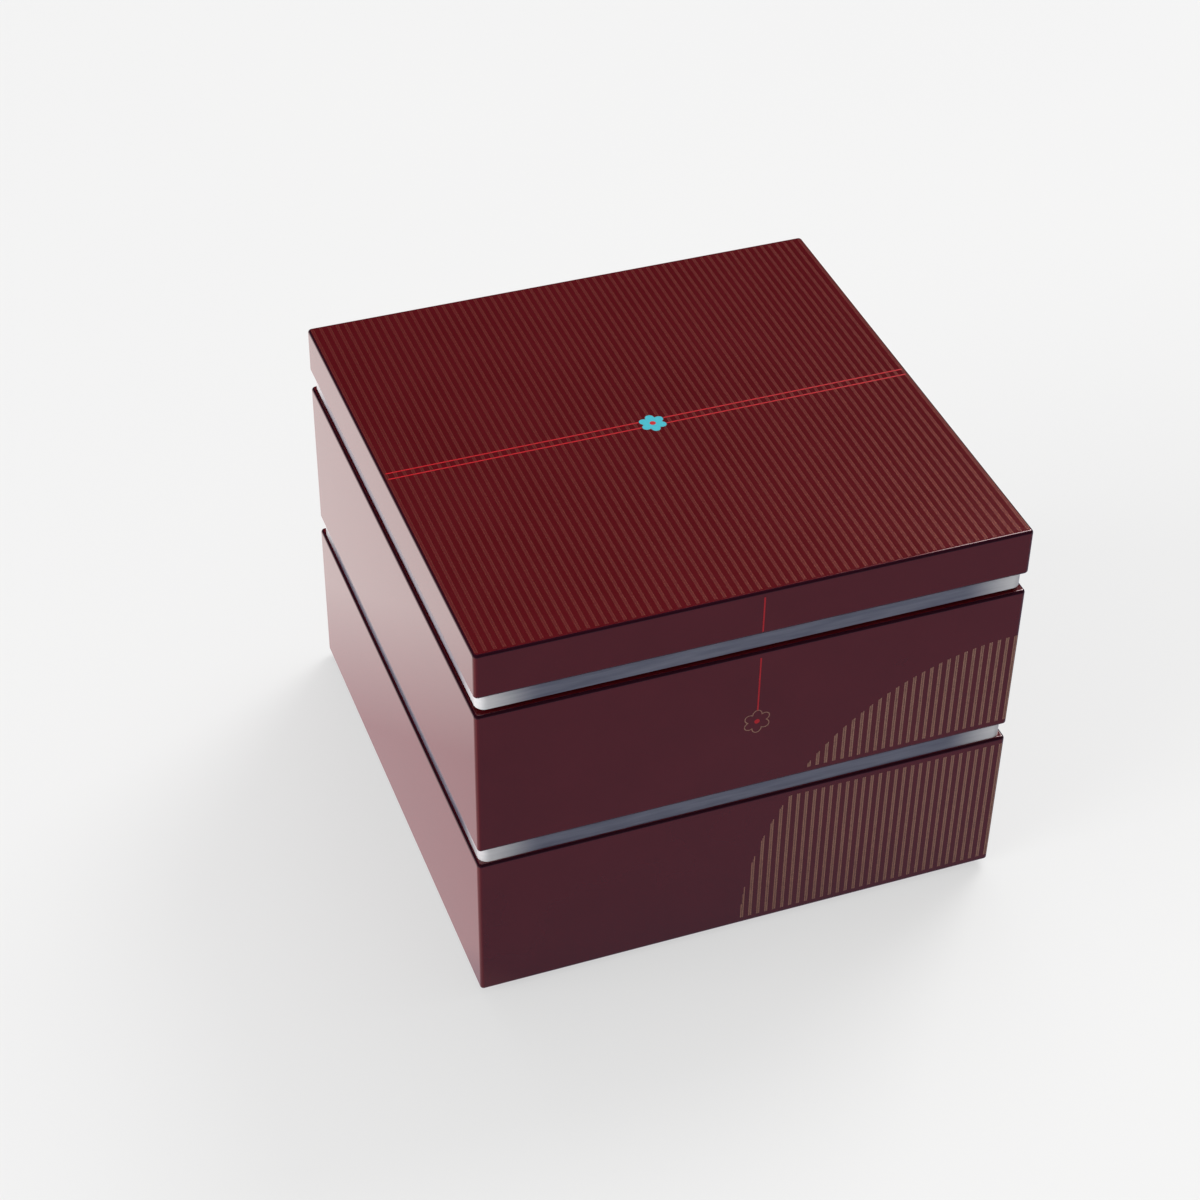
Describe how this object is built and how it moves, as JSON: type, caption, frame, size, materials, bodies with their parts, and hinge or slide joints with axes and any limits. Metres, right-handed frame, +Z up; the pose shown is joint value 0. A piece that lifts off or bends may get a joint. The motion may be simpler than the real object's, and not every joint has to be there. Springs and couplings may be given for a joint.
{
  "type": "stacking food box",
  "caption": "Square stacking food box in burgundy lacquer: deep trays closed by soft seal lids that show as pale bands, under a flat lift-off lid with pinstripes and a small flower.",
  "frame": {"origin": "middle of the box on the surface that it stands on, under the lower tier's foot ring", "axes": "+Z up, the way the pieces lift off; -Y out of the printed front; X across the front"},
  "size_m": [0.18, 0.18, 0.1423],
  "materials": {
    "lacquer": "deep burgundy lacquer, glossy, with gold and red print on the lid and the front",
    "seal_resin": "soft frosted resin, satin, pale blue grey"
  },
  "bodies": {
    "lower_tier": {"lower_tier": "lacquer"},
    "lower_seal_lid": {"lower_seal_lid": "seal_resin"},
    "upper_tier": {"upper_tier": "lacquer"},
    "upper_seal_lid": {"upper_seal_lid": "seal_resin"},
    "lid": {"lid": "lacquer"}
  },
  "joints": [
    {"name": "lower_seal_lid_lift", "type": "slide", "parent": "lower_tier", "child": "lower_seal_lid", "axis": [0, 0, 1], "range_m": [0, 0.04]},
    {"name": "upper_tier_lift", "type": "slide", "parent": "lower_seal_lid", "child": "upper_tier", "axis": [0, 0, 1], "range_m": [0, 0.08]},
    {"name": "upper_seal_lid_lift", "type": "slide", "parent": "upper_tier", "child": "upper_seal_lid", "axis": [0, 0, 1], "range_m": [0, 0.04]},
    {"name": "lid_lift", "type": "slide", "parent": "upper_seal_lid", "child": "lid", "axis": [0, 0, 1], "range_m": [0, 0.06]}
  ]
}
